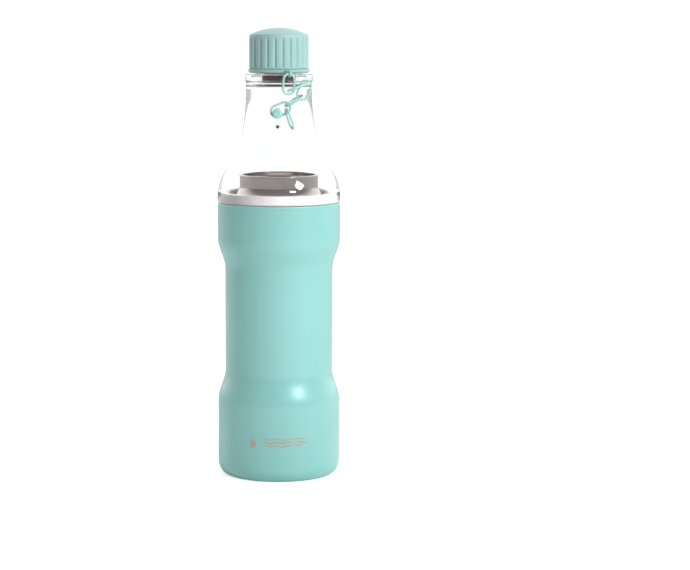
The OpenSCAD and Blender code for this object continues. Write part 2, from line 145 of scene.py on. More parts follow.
def heading(degrees: float) -> Vector:
    """Unit direction in a plane, as (sideways, up)."""
    return Vector((math.cos(math.radians(degrees)), math.sin(math.radians(degrees))))


def radius_at(outline: Outline, z: float) -> float:
    """Radius of a rising outline at a height.

    Args:
        outline: Points that rise from the first to the last.
        z: The height.

    Returns:
        The radius there, straight between points.
    """
    for (r0, z0), (r1, z1) in zip(outline, outline[1:]):
        if z0 <= z <= z1:
            return r0 + (r1 - r0) * (z - z0) / max(z1 - z0, 1e-9)
    return outline[-1][0] if z > outline[-1][1] else outline[0][0]


# ---------------------------------------------------------------- meshes


@dataclass
class Solid:
    """Collects the faces of one piece, in millimetres, and makes it a mesh in metres."""

    verts: list[tuple[float, float, float]] = field(default_factory=list)
    faces: list[tuple[int, ...]] = field(default_factory=list)

    def turn(self, outline: Outline, segments: int = 160) -> "Solid":
        """Turns a closed outline round the axis.

        Args:
            outline: Points as (radius, height); the last joins the first.
            segments: Steps round the axis.

        Returns:
            This solid.
        """
        outline = [p for i, p in enumerate(outline) if math.dist(p, outline[i - 1]) > 1e-6]
        area = sum(p[0] * q[1] - q[0] * p[1] for p, q in zip(outline, outline[1:] + outline[:1]))
        if area < 0:
            outline.reverse()
        rings: list[list[int]] = []
        for r, z in outline:
            first = len(self.verts)
            if r < 1e-6:
                self.verts.append((0.0, 0.0, z))
                rings.append([first] * segments)
                continue
            for j in range(segments):
                a = 2 * math.pi * j / segments
                self.verts.append((r * math.cos(a), r * math.sin(a), z))
            rings.append(list(range(first, first + segments)))
        for low, high in zip(rings, rings[1:] + rings[:1]):
            for j in range(segments):
                k = (j + 1) % segments
                quad = list(dict.fromkeys((low[j], low[k], high[k], high[j])))
                if len(quad) > 2:
                    self.faces.append(tuple(quad))
        return self

    def ridge(self, root: float, crest: float, lead: float, z0: float, z1: float, phase: float) -> "Solid":
        """Lays the two ridges of a two-start thread.

        Args:
            root: Radius of the wall that carries the thread.
            crest: Radius of the ridge's crest.
            lead: Rise in one turn.
            z0: Height where the ridge starts.
            z1: Height where it ends.
            phase: Angle of the thread at height 0, in degrees.

        Returns:
            This solid.
        """
        outward = crest > root
        foot = root - RIDGE_SINK if outward else root + RIDGE_SINK
        crown_r = RIDGE_CROWN if outward else -RIDGE_CROWN
        steps = math.ceil((z1 - z0) / lead * RIDGE_STEPS)
        for start in (0, 180):
            base = len(self.verts)
            for i in range(steps + 1):
                a = math.radians(phase + start + 360 * (z0 + (z1 - z0) * i / steps) / lead)
                z = z0 + (z1 - z0) * i / steps
                fade = max(0.08, min(1.0, i / RIDGE_FADE, (steps - i) / RIDGE_FADE))
                top = root + (crest - root) * fade
                ring = ((foot, -0.65), (top, -0.36), (top + crown_r, -0.22), (top + crown_r, 0.22),
                        (top, 0.36), (foot, 0.65))
                self.verts += [(r * math.cos(a), r * math.sin(a), z + h) for r, h in ring]
            count = 6
            faces = []
            for i in range(steps):
                for k in range(count):
                    p, q = base + count * i + k, base + count * i + (k + 1) % count
                    faces.append((p, q, q + count, p + count))
            last = base + count * steps
            faces.append(tuple(base + k for k in reversed(range(count))))
            faces.append(tuple(last + k for k in range(count)))
            self.faces += [tuple(reversed(f)) for f in faces] if outward else faces
        return self

    def patch(self, rows: list[list[tuple[float, float, float]]]) -> "Solid":
        """Adds a net of points, row by row, as one sheet of quads.

        Args:
            rows: Rows of points, each as long as the first.

        Returns:
            This solid.
        """
        base, width = len(self.verts), len(rows[0])
        for row in rows:
            self.verts += row
        for i in range(len(rows) - 1):
            for j in range(width - 1):
                a = base + i * width + j
                self.faces.append((a, a + 1, a + width + 1, a + width))
        return self

    def move(self, place: Matrix) -> "Solid":
        """Moves every point of this solid, in millimetres."""
        self.verts = [tuple(place @ Vector(v)) for v in self.verts]
        return self

    def build(self, name: str, sharp: float = 38.0, tidy: bool = False) -> bpy.types.Object:
        """Makes the Blender object.

        Args:
            name: Name of the piece.
            sharp: Edges that turn by more than this many degrees stay crisp.
            tidy: True to merge doubled points and point every face outwards.

        Returns:
            The object, at the origin, with its place in its mesh.
        """
        mesh = bpy.data.meshes.new(name)
        mesh.from_pydata([tuple(c * MM for c in v) for v in self.verts], [], self.faces)
        if tidy:
            work = bmesh.new()
            work.from_mesh(mesh)
            bmesh.ops.remove_doubles(work, verts=work.verts, dist=0.002 * MM)
            bmesh.ops.recalc_face_normals(work, faces=work.faces)
            work.to_mesh(mesh)
            work.free()
        soften(mesh, sharp)
        piece = bpy.data.objects.new(name, mesh)
        bpy.context.collection.objects.link(piece)
        return piece


def soften(mesh: bpy.types.Mesh, sharp: float = 38.0) -> None:
    """Shades a mesh smooth, with crisp edges where it turns sharply.

    Args:
        mesh: The mesh.
        sharp: Angle over which an edge stays sharp, in degrees.
    """
    for face in mesh.polygons:
        face.use_smooth = True
    mesh.set_sharp_from_angle(angle=math.radians(sharp))
    mesh.update()


def upright_plane(turn: float, depth: float, place: Vector) -> Matrix:
    """A plane that stands off the axis, turned round the bottle.

    Args:
        turn: Degrees round the bottle, away from the front.
        depth: Distance from the axis in millimetres.
        place: Place in the plane, as (sideways, up).

    Returns:
        The matrix that lays a shape there.
    """
    return Matrix.Rotation(math.radians(turn), 4, "Z") @ Matrix.Translation((place[0], -depth, place[1]))


# ---------------------------------------------------------------- node trees


def socket(tree: bpy.types.NodeTree, side: str, kind: str, name: str, value: object = None) -> None:
    """Adds a named socket to a group.

    Args:
        tree: The group.
        side: INPUT or OUTPUT.
        kind: The socket's type, such as Float.
        name: Its name.
        value: Its default value, if it has one.
    """
    made = tree.interface.new_socket(name, in_out=side, socket_type=f"NodeSocket{kind}")
    if value is not None:
        made.default_value = value


def grow(tree: bpy.types.NodeTree, *kinds: str) -> list[bpy.types.Node]:
    """Adds nodes to a tree, one for each kind that is named, in order."""
    return [tree.nodes.new(kind) for kind in kinds]


def wire(tree: bpy.types.NodeTree, *runs: tuple) -> None:
    """Joins nodes; each run is (node, its output, node, its input)."""
    for source, out, target, into in runs:
        tree.links.new(source.outputs[out], target.inputs[into])


# ---------------------------------------------------------------- shader groups


class Pattern(Enum):
    """The shared surface effects."""

    GRAIN = "fine_grain"
    DRIFT = "tint_drift"
    TURNED = "turned_marks"


class Patterns:
    """Builds each shared shader group once and places it in materials."""

    def __init__(self) -> None:
        """Builds the three groups."""
        self.trees = {Pattern.GRAIN: self._noise_group(Pattern.GRAIN, (1.0, 1.0, 1.0)),
                      Pattern.TURNED: self._noise_group(Pattern.TURNED, (0.012, 0.012, 1.0)),
                      Pattern.DRIFT: self._drift_group()}

    @staticmethod
    def _noise_group(pattern: Pattern, stretch: Colour) -> bpy.types.ShaderNodeTree:
        """A group that puts out a roughness and a height from noise.

        Args:
            pattern: Which effect it is, for its name.
            stretch: Scale of the noise along each axis.

        Returns:
            The group.
        """
        tree = bpy.data.node_groups.new(pattern.value, "ShaderNodeTree")
        for name, value in (("Scale", 900.0), ("Low", 0.3), ("High", 0.4)):
            socket(tree, "INPUT", "Float", name, value)
        for name in ("Roughness", "Height"):
            socket(tree, "OUTPUT", "Float", name)
        given, out, where, mapping, noise, span = grow(
            tree, "NodeGroupInput", "NodeGroupOutput", "ShaderNodeTexCoord", "ShaderNodeMapping",
            "ShaderNodeTexNoise", "ShaderNodeMapRange")
        mapping.inputs["Scale"].default_value = stretch
        noise.inputs["Detail"].default_value = 4.0
        noise.inputs["Roughness"].default_value = 0.6
        span.inputs["From Min"].default_value = 0.3
        span.inputs["From Max"].default_value = 0.7
        wire(tree, (where, "Object", mapping, "Vector"), (mapping, "Vector", noise, "Vector"),
             (given, "Scale", noise, "Scale"), (noise, "Fac", span, "Value"), (given, "Low", span, "To Min"),
             (given, "High", span, "To Max"), (span, "Result", out, "Roughness"),
             (noise, "Fac", out, "Height"))
        return tree

    @staticmethod
    def _drift_group() -> bpy.types.ShaderNodeTree:
        """A group that lets a colour drift slowly between two tints.

        Returns:
            The group.
        """
        tree = bpy.data.node_groups.new(Pattern.DRIFT.value, "ShaderNodeTree")
        socket(tree, "INPUT", "Float", "Scale", 30.0)
        socket(tree, "INPUT", "Color", "Tint")
        socket(tree, "INPUT", "Color", "Shade")
        socket(tree, "OUTPUT", "Color", "Color")
        given, out, where, noise, span, mix = grow(
            tree, "NodeGroupInput", "NodeGroupOutput", "ShaderNodeTexCoord", "ShaderNodeTexNoise",
            "ShaderNodeMapRange", "ShaderNodeMix")
        noise.inputs["Detail"].default_value = 3.0
        span.inputs["From Min"].default_value = 0.35
        span.inputs["From Max"].default_value = 0.65
        mix.data_type = "RGBA"
        tint, shade = [s for s in mix.inputs if s.type == "RGBA"]
        wire(tree, (where, "Object", noise, "Vector"), (given, "Scale", noise, "Scale"),
             (noise, "Fac", span, "Value"), (span, "Result", mix, 0))
        tree.links.new(given.outputs["Tint"], tint)
        tree.links.new(given.outputs["Shade"], shade)
        tree.links.new(next(s for s in mix.outputs if s.type == "RGBA"), out.inputs["Color"])
        return tree

    def place(self, material: bpy.types.Material, pattern: Pattern, **values: object) -> bpy.types.Node:
        """Puts a group in a material.

        Args:
            material: The material that uses it.
            pattern: Which effect.
            **values: The group's inputs, by name.

        Returns:
            The group's node.
        """
        node = material.node_tree.nodes.new("ShaderNodeGroup")
        node.node_tree = self.trees[pattern]
        for name, value in values.items():
            node.inputs[name].default_value = (*value, 1.0) if isinstance(value, tuple) else value
        return node


# ---------------------------------------------------------------- finishes


@dataclass(frozen=True)
class Finish:
    """One surface finish. Its constants sit on the shader, and its detail comes from the shared groups."""

    name: str
    tint: Colour
    shade: Colour
    low: float
    high: float
    grain: float = 900.0
    drift: float = 30.0
    bump: float = 0.05
    depth_mm: float = 0.05
    pattern: Pattern = Pattern.GRAIN
    settings: tuple[tuple[str, float], ...] = ()
    lets_lamps_through: bool = False

    def build(self, patterns: Patterns) -> bpy.types.Material:
        """Makes the material.

        Args:
            patterns: The shared shader groups.

        Returns:
            The material.
        """
        material = bpy.data.materials.new(self.name)
        material.use_nodes = True
        tree = material.node_tree
        shader = tree.nodes["Principled BSDF"]
        for name, value in self.settings:
            shader.inputs[name].default_value = value
        tone = patterns.place(material, Pattern.DRIFT, Scale=self.drift, Tint=self.tint, Shade=self.shade)
        fine = patterns.place(material, self.pattern, Scale=self.grain, Low=self.low, High=self.high)
        bump, = grow(tree, "ShaderNodeBump")
        bump.inputs["Strength"].default_value = self.bump
        bump.inputs["Distance"].default_value = self.depth_mm * MM
        wire(tree, (tone, "Color", shader, "Base Color"), (fine, "Roughness", shader, "Roughness"),
             (fine, "Height", bump, "Height"), (bump, "Normal", shader, "Normal"))
        if self.lets_lamps_through:
            self._let_lamps_through(tree, shader)
        return material

    def _let_lamps_through(self, tree: bpy.types.NodeTree, shader: bpy.types.Node) -> None:
        """Lets the lamps' light pass the clear plastic, so that what is behind it is lit.

        Args:
            tree: The tree that it is added to.
            shader: The material's own shader.
        """
        path, through, mix = grow(tree, "ShaderNodeLightPath", "ShaderNodeBsdfTransparent",
                                  "ShaderNodeMixShader")
        through.inputs["Color"].default_value = (*self.tint, 1.0)
        wire(tree, (path, "Is Shadow Ray", mix, 0), (shader, 0, mix, 1), (through, 0, mix, 2),
             (mix, 0, tree.nodes["Material Output"], "Surface"))


class Slot(Enum):
    """The record's material slots."""

    MINT_PAINT = "mint_paint"
    MINT_CAP = "mint_cap"
    MINT_CHAIN = "mint_chain"
    CLEAR = "clear_plastic"
    FROSTED = "frosted_plastic"
    WHITE = "white_plastic"
    POLISHED = "polished_steel"
    BRUSHED = "brushed_steel"
    SILICONE = "silicone"
    PLUG = "brown_plug"
    SOLDER = "solder"
    GETTER = "getter_metal"


FINISHES: dict[Slot, Finish] = {
    Slot.MINT_PAINT: Finish("satin_mint_paint", (0.300, 0.660, 0.625), (0.282, 0.628, 0.594), 0.30, 0.38,
                            grain=1500.0, drift=14.0, bump=0.10, depth_mm=0.03,
                            settings=(("Coat Weight", 0.6), ("Coat Roughness", 0.04), ("Metallic", 0.05))),
    Slot.MINT_CAP: Finish("moulded_mint_cap", (0.365, 0.585, 0.575), (0.338, 0.556, 0.545), 0.42, 0.55,
                          grain=2600.0, drift=60.0, bump=0.22, depth_mm=0.04,
                          settings=(("Coat Weight", 0.35), ("Coat Roughness", 0.28))),
    Slot.MINT_CHAIN: Finish("moulded_mint_link", (0.500, 0.830, 0.770), (0.430, 0.780, 0.710), 0.22, 0.34,
                            grain=2200.0, drift=120.0, bump=0.15, depth_mm=0.04,
                            settings=(("Subsurface Weight", 0.15), ("Subsurface Scale", 0.002),
                                      ("Transmission Weight", 0.2))),
    Slot.CLEAR: Finish("clear_moulding", (0.985, 0.990, 0.988), (0.975, 0.982, 0.984), 0.0, 0.035,
                       grain=240.0, drift=10.0, bump=0.03, depth_mm=0.05,
                       settings=(("Transmission Weight", 1.0), ("IOR", 1.5)), lets_lamps_through=True),
    Slot.FROSTED: Finish("frosted_moulding", (0.80, 0.74, 0.74), (0.74, 0.68, 0.68), 0.25, 0.42, grain=1200.0,
                         bump=0.12, settings=(("Subsurface Weight", 0.2), ("Subsurface Scale", 0.003))),
    Slot.WHITE: Finish("white_moulding", (0.80, 0.82, 0.80), (0.74, 0.76, 0.74), 0.35, 0.5, grain=1600.0,
                       bump=0.1),
    Slot.POLISHED: Finish("polished_steel_skin", (0.680, 0.625, 0.610), (0.600, 0.545, 0.530), 0.03, 0.10,
                          grain=6000.0, drift=40.0, bump=0.06, depth_mm=0.02, pattern=Pattern.TURNED,
                          settings=(("Metallic", 1.0),)),
    Slot.BRUSHED: Finish("brushed_steel_skin", (0.600, 0.595, 0.585), (0.520, 0.515, 0.505), 0.24, 0.42,
                         grain=5200.0, drift=50.0, bump=0.25, depth_mm=0.03, settings=(("Metallic", 1.0),)),
    Slot.SILICONE: Finish("soft_silicone", (0.78, 0.78, 0.76), (0.72, 0.72, 0.69), 0.55, 0.7, grain=1800.0,
                          bump=0.2),
    # The plug's dark brown tint is partly painted shade: it stands in for the dark band under the cap.
    Slot.PLUG: Finish("brown_plug_with_painted_shade", (0.150, 0.062, 0.034), (0.070, 0.028, 0.014), 0.08, 0.20,
                      grain=1500.0, drift=160.0, bump=0.1),
    Slot.SOLDER: Finish("dull_solder", (0.20, 0.19, 0.18), (0.12, 0.115, 0.11), 0.45, 0.65, grain=2500.0,
                        bump=0.5, settings=(("Metallic", 0.9),)),
    Slot.GETTER: Finish("pressed_getter", (0.16, 0.15, 0.15), (0.10, 0.095, 0.095), 0.4, 0.6, grain=3000.0,
                        bump=0.5, settings=(("Metallic", 0.8),)),
}
ETCH = Finish("bright_etched_steel", (0.62, 0.57, 0.44), (0.52, 0.47, 0.35), 0.30, 0.48, grain=3200.0,
              drift=200.0, bump=0.3, settings=(("Metallic", 1.0),))


class Workshop:
    """Holds the finishes and hands every piece over to the frame."""

    def __init__(self) -> None:
        """Builds the shared groups and every finish."""
        patterns = Patterns()
        self.materials = {slot: finish.build(patterns) for slot, finish in FINISHES.items()}
        self.etch = ETCH.build(patterns)

    def hand_over(self, piece: bpy.types.Object, body: str, slot: Slot, nodes: tuple[str, ...] = (),
                  material: bpy.types.Material | None = None) -> bpy.types.Object:
        """Dresses a piece, puts it on its body and hides the frame's nodes that it replaces.

        Args:
            piece: The finished piece.
            body: The body that it rides on.
            slot: The record's slot.
            nodes: The frame's nodes that it replaces.
            material: A finish other than the slot's own.

        Returns:
            The piece.
        """
        piece.data.materials.clear()
        piece.data.materials.append(material or self.materials[slot])
        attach(piece, body)
        if nodes:
            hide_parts(*nodes)
        log.info("%s on %s, %d faces, %s", piece.name, body, len(piece.data.polygons), slot.value)
        return piece

    def carry_over(self, node: str, slot: Slot) -> None:
        """Gives a node of the frame its finish and leaves its shape as it is.

        Args:
            node: The CAD node's name.
            slot: The slot whose finish it takes.
        """
        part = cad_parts[node]
        if not part.material_slots:
            part.data.materials.append(self.materials[slot])
        for holder in part.material_slots:
            holder.link = "OBJECT"
            holder.material = self.materials[slot]
        log.info("%s carried over, %s", node, slot.value)


# ---------------------------------------------------------------- geometry node trees


class RuleShapes:
    """The shapes that repeat or follow a rule, made by geometry nodes."""

    def __init__(self) -> None:
        """Builds the two trees."""
        self.bays = self._bay_tree()
        self.oval = self._link_tree()

    @staticmethod
    def _finish_tree(tree: bpy.types.NodeTree, shape: bpy.types.Node) -> None:
        """Ends a tree: real geometry, smooth, with the material that is given.

        Args:
            tree: The tree that it is added to.
            shape: The node that puts out the geometry.
        """
        real, smooth, dress, out = grow(tree, "GeometryNodeRealizeInstances", "GeometryNodeSetShadeSmooth",
                                        "GeometryNodeSetMaterial", "NodeGroupOutput")
        given = next(n for n in tree.nodes if n.type == "GROUP_INPUT")
        wire(tree, (shape, 0, real, "Geometry"), (real, "Geometry", smooth, 0),
             (smooth, 0, dress, "Geometry"), (given, "Finish", dress, "Material"),
             (dress, "Geometry", out, 0))

    def _bay_tree(self) -> bpy.types.NodeTree:
        """A tree that sets one bay of a cap's skirt round the axis and welds the bays together.

        Returns:
            The tree.
        """
        tree = bpy.data.node_groups.new("bays_round_axis", "GeometryNodeTree")
        socket(tree, "INPUT", "Geometry", "Bay")
        socket(tree, "INPUT", "Int", "Bays", 24)
        socket(tree, "INPUT", "Float", "Weld", 0.00001)
        socket(tree, "INPUT", "Material", "Finish")
        socket(tree, "OUTPUT", "Geometry", "Shape")
        given, points, index, step, angle, turn, place, real, weld = grow(
            tree, "NodeGroupInput", "GeometryNodePoints", "GeometryNodeInputIndex", "ShaderNodeMath",
            "ShaderNodeMath", "ShaderNodeCombineXYZ", "GeometryNodeInstanceOnPoints",
            "GeometryNodeRealizeInstances", "GeometryNodeMergeByDistance")
        step.operation, angle.operation = "DIVIDE", "MULTIPLY"
        step.inputs[0].default_value = 2 * math.pi
        wire(tree, (given, "Bays", points, "Count"), (given, "Bays", step, 1), (index, 0, angle, 0),
             (step, 0, angle, 1), (angle, 0, turn, "Z"), (points, 0, place, "Points"),
             (given, "Bay", place, "Instance"), (turn, 0, place, "Rotation"), (place, 0, real, 0),
             (real, 0, weld, "Geometry"), (given, "Weld", weld, "Distance"))
        self._finish_tree(tree, weld)
        return tree

    def _link_tree(self) -> bpy.types.NodeTree:
        """A tree that bends a round wire into one oval link.

        Returns:
            The tree.
        """
        tree = bpy.data.node_groups.new("oval_link", "GeometryNodeTree")
        for name, value in (("Length", 0.0132), ("Width", 0.0082), ("Wire", 0.0015)):
            socket(tree, "INPUT", "Float", name, value)
        socket(tree, "INPUT", "Material", "Finish")
        socket(tree, "OUTPUT", "Geometry", "Shape")
        given, box, long, wide, half, thin, bend, ring, skin = grow(
            tree, "NodeGroupInput", "GeometryNodeCurvePrimitiveQuadrilateral", "ShaderNodeMath",
            "ShaderNodeMath", "ShaderNodeMath", "ShaderNodeMath", "GeometryNodeFilletCurve",
            "GeometryNodeCurvePrimitiveCircle", "GeometryNodeCurveToMesh")
        long.operation = wide.operation = "SUBTRACT"
        half.operation = thin.operation = "MULTIPLY"
        half.inputs[1].default_value = 0.4999
        thin.inputs[1].default_value = 0.5
        bend.mode = "POLY"
        bend.inputs["Count"].default_value = 14
        ring.inputs["Resolution"].default_value = 22
        wire(tree, (given, "Length", long, 0), (given, "Wire", long, 1), (given, "Width", wide, 0),
             (given, "Wire", wide, 1), (long, 0, box, "Width"), (wide, 0, box, "Height"), (wide, 0, half, 0),
             (box, 0, bend, "Curve"), (half, 0, bend, "Radius"), (given, "Wire", thin, 0),
             (thin, 0, ring, "Radius"), (bend, 0, skin, "Curve"), (ring, 0, skin, "Profile Curve"))
        self._finish_tree(tree, skin)
        return tree

    @staticmethod
    def run(tree: bpy.types.NodeTree, piece: bpy.types.Object, **values: object) -> bpy.types.Object:
        """Runs a tree on a piece and keeps its result as a plain mesh.

        Args:
            tree: The tree.
            piece: The piece, whose mesh is the tree's first geometry.
            **values: The tree's inputs, by name.

        Returns:
            The piece with its new mesh and no modifier.
        """
        modifier = piece.modifiers.new(tree.name, "NODES")
        modifier.node_group = tree
        names = {s.name: s.identifier for s in tree.interface.items_tree
                 if getattr(s, "in_out", "") == "INPUT"}
        for name, value in values.items():
            modifier[names[name]] = value
        bpy.context.view_layer.update()
        ready = piece.evaluated_get(bpy.context.evaluated_depsgraph_get())
        mesh = bpy.data.meshes.new_from_object(ready)
        mesh.name = piece.name
        piece.modifiers.remove(modifier)
        piece.data = mesh
        return piece


# ---------------------------------------------------------------- sub-assemblies


@dataclass
class PaintedBody:
    """Painted outer shell with its base, base cover and etched mark."""

    height: float = 163.2
    barrel: float = 36.5
    waist: float = 32.1
    lower_barrel: float = 44.0
    waist_run: float = 19.0
    upper_run: float = 142.2
    foot_round: Point = (5.0, 8.0)
    foot_land: float = 1.4
    wall: float = 0.6
    lip: float = 34.55
    edge: float = 0.8
    mark_z: float = 24.4
    mark_wide: float = 38.0

    def outline(self) -> Outline:
        """Outline of the barrels and the waist."""
        return (s_curve((self.barrel, self.lower_barrel), (self.waist, self.lower_barrel + self.waist_run))
                + s_curve((self.waist, self.upper_run - self.waist_run), (self.barrel, self.upper_run)))

    def shell(self) -> bpy.types.Object:
        """The outer shell, with its rounded foot and rolled upper edge.

        Returns:
            The piece.
        """
        run, drop = self.foot_round
        foot, edge = (self.barrel - run, drop), (self.barrel - self.edge, self.height - self.edge)
        outline = ([(foot[0] - self.foot_land, self.wall), (foot[0] - self.foot_land, 0.12),
                    (foot[0] - self.foot_land + 0.12, 0.0)] + oval_arc(foot, run, drop, -90, 0, 24)
                   + self.outline() + arc(edge, self.edge, 0, 90, 8)
                   + [(self.lip + 0.1, self.height), (self.lip, self.height - 0.1),
                      (self.lip, self.height - self.wall)]
                   + arc(edge, self.edge - self.wall, 90, 0, 5) + inset(self.outline(), self.wall)[::-1]
                   + oval_arc(foot, run - self.wall, drop - self.wall, 0, -90, 16))
        return Solid().turn(outline, 192).build("painted_shell")

    def base(self) -> bpy.types.Object:
        """The pressed steel base, with its pan and its dimple.

        Returns:
            The piece.
        """
        rim, pan, r = 0.65, 2.05, 31.2
        outline = [(r, rim), (r, rim + 0.6), (25.3, 1.25), (24.6, 1.6), (24.1, 2.55), (23.6, 2.65),
                   (4.1, 2.65), (3.7, 2.9), (3.3, 3.6), (2.9, 3.85), (0, 3.85), (0, 3.25), (2.4, 3.25),
                   (2.8, 3.0), (3.2, 2.2), (3.4, pan), (23.4, pan), (23.8, 1.8), (24.4, 0.8), (24.8, 0.65)]
        return Solid().turn(outline, 128).build("pressed_base", 50)

    def cover(self) -> bpy.types.Object:
        """The painted disc in the base, with a raised ring and a rounded rim.

        Returns:
            The piece.
        """
        r, low, high = 23.4, 1.5, 2.0
        outline = ([(0, high), (0, low), (12.0, low), (12.3, low + 0.14), (13.1, low + 0.14), (13.4, low)]
                   + arc((r - 0.25, low + 0.25), 0.25, -90, 0, 4) + [(r, high)])
        return Solid().turn(outline, 128).build("base_disc", 50)

    def mark(self) -> bpy.types.Object:
        """A plain etched mark: a drop and three ripples, laid flush on the lower barrel.

        Returns:
            The piece.
        """
        solid, outer, inner = Solid(), self.barrel + 0.02, self.barrel - 0.12
        left = -self.mark_wide / 2

        def wrap(x: float, z: float, r: float) -> tuple[float, float, float]:
            """Lays a flat point on the barrel's front."""
            a = x / self.barrel
            return (r * math.sin(a), -r * math.cos(a), self.mark_z + z)

        drop = [(left + 3.4 + 2.5 * math.sin(t) * math.sin(t / 2) ** 1.4, 3.4 * math.cos(t))
                for t in (2 * math.pi * i / 36 for i in range(36))]
        base = len(solid.verts)
        middle = (left + 3.4, -1.0)
        solid.verts += [wrap(*p, outer) for p in drop] + [wrap(*p, inner) for p in drop]
        solid.verts += [wrap(*middle, outer), wrap(*middle, inner)]
        for i in range(36):
            j = (i + 1) % 36
            solid.faces += [(base + 72, base + j, base + i), (base + 73, base + 36 + i, base + 36 + j),
                            (base + i, base + j, base + 36 + j, base + 36 + i)]
        for z, start, stop in ((2.0, 8.6, 37.0), (0.0, 8.6, 38.0), (-2.0, 8.6, 34.0)):
            steps = 90
            rows = []
            for i in range(steps + 1):
                x = start + (stop - start) * i / steps
                end = min(1.0, 6 * i / steps + 0.2, 6 * (steps - i) / steps + 0.2)
                mid, half = z + 0.45 * math.sin((x - start) * 2 * math.pi / 7.2), 0.42 * end
                ring = (wrap(left + x, mid - half, outer), wrap(left + x, mid + half, outer),
                        wrap(left + x, mid + half, inner), wrap(left + x, mid - half, inner))
                rows.append([*ring, ring[0]])
            solid.patch(rows)
            first = len(solid.verts) - 5 * (steps + 1)
            last = len(solid.verts) - 5
            solid.faces += [tuple(first + k for k in (3, 2, 1, 0)), tuple(last + k for k in range(4))]
        return solid.build("etched_mark", 30, tidy=True)

    def make(self, shop: Workshop) -> None:
        """Builds and dresses the body's pieces.

        Args:
            shop: The workshop that dresses the pieces and hands them over.
        """
        shop.hand_over(self.shell(), "flask", Slot.MINT_PAINT, ("outer_shell",))
        shop.hand_over(self.base(), "flask", Slot.BRUSHED, ("outer_base",))
        shop.hand_over(self.cover(), "flask", Slot.MINT_PAINT, ("base_cover",))
        shop.hand_over(self.mark(), "flask", Slot.BRUSHED, material=shop.etch)
        shop.carry_over("seal_bead", Slot.SOLDER)
        shop.carry_over("getter", Slot.GETTER)


@dataclass
class SteelLiner:
    """Inner flask with its floor, and the threaded shoulder and neck that join it to the shell."""

    liner: float = 29.1
    wall: float = 0.6
    floor_z: float = 6.0
    corner: float = 6.0
    neck: float = 23.3
    neck_wall: float = 0.8
    liner_neck: float = 22.45
    lip_z: float = 179.2
    lip: float = 0.8
    land_z: float = 167.4
    foot_z: float = 162.55
    skirt: float = 32.9
    skirt_lip: float = 34.55
    fillet: float = 5.0
    draw_z: float = 147.2
    gap: float = 0.05

    def flask(self) -> bpy.types.Object:
        """The inner wall, drawn in to the neck and rolled over at the lip.

        Returns:
            The piece.
        """
        draw = s_curve((self.liner, self.draw_z), (self.liner_neck, self.land_z - 1))
        low = self.floor_z + self.corner
        outline = ([(self.liner - self.wall, low), (self.liner, low)] + draw
                   + [(self.liner_neck, self.lip_z - self.lip), (self.neck + 0.1, self.lip_z - self.lip)]
                   + arc((self.neck + 0.1, self.lip_z - self.lip / 2), self.lip / 2, -90, 90, 10)
                   + arc((self.liner_neck - self.wall + 0.5, self.lip_z - 0.5), 0.5, 90, 180, 8)
                   + inset(draw, self.wall)[::-1])
        return Solid().turn(outline, 160).build("inner_wall")

    def floor(self) -> bpy.types.Object:
        """The rounded floor of the inner flask.

        Returns:
            The piece.
        """
        corner = (self.liner - self.corner, self.floor_z + self.corner)
        outline = ([(0, self.floor_z)] + arc(corner, self.corner, -90, 0, 16)
                   + arc(corner, self.corner - self.wall, 0, -90, 16) + [(0, self.floor_z + self.wall)])
        return Solid().turn(outline, 128).build("inner_floor")

    def shoulder(self) -> bpy.types.Object:
        """The polished skirt, shoulder and neck with its thread.

        Returns:
            The piece.
        """
        fillet = (self.neck + self.fillet, self.land_z + self.fillet)
        top = self.lip_z - self.lip - self.gap
        outline = ([(self.skirt_lip + 0.8, self.foot_z - self.neck_wall), (self.skirt_lip + 0.8, self.foot_z),
                    (self.skirt, self.foot_z)]
                   + arc((self.skirt - 0.6, self.land_z - 0.6), 0.6, 0, 90, 8)
                   + arc(fillet, self.fillet, -90, -180, 20)
                   + [(self.neck, top), (self.neck - self.neck_wall, top)]
                   + arc(fillet, self.fillet + self.neck_wall, -180, -90, 20)
                   + [(self.skirt - self.neck_wall, self.land_z - self.neck_wall),
                      (self.skirt - self.neck_wall, self.foot_z - self.neck_wall)])
        solid = Solid().turn(outline, 192)
        return solid.ridge(self.skirt, self.skirt + 0.71, 6, 164.1, 166.5, 0).build("polished_shoulder")

    def gasket(self) -> bpy.types.Object:
        """The flat silicone gasket on the shoulder.

        Returns:
            The piece.
        """
        low, out = self.land_z + self.gap, self.skirt - 0.5
        outline = [(out - 2.2, low), (out - 0.15, low), (out, low + 0.15), (out, low + 0.65),
                   (out - 0.15, low + 0.8), (out - 2.05, low + 0.8), (out - 2.2, low + 0.65)]
        return Solid().turn(outline, 128).build("shoulder_gasket", 60)

    def make(self, shop: Workshop) -> None:
        """Builds and dresses the steel inside of the bottle.

        Args:
            shop: The workshop that dresses the pieces and hands them over.
        """
        shop.hand_over(self.flask(), "flask", Slot.POLISHED, ("inner_flask", "flask_neck"))
        shop.hand_over(self.floor(), "flask", Slot.POLISHED, ("flask_floor",))
        shop.hand_over(self.shoulder(), "flask", Slot.POLISHED, ("steel_shoulder",))
        shop.hand_over(self.gasket(), "seat", Slot.SILICONE, ("joint_gasket",))


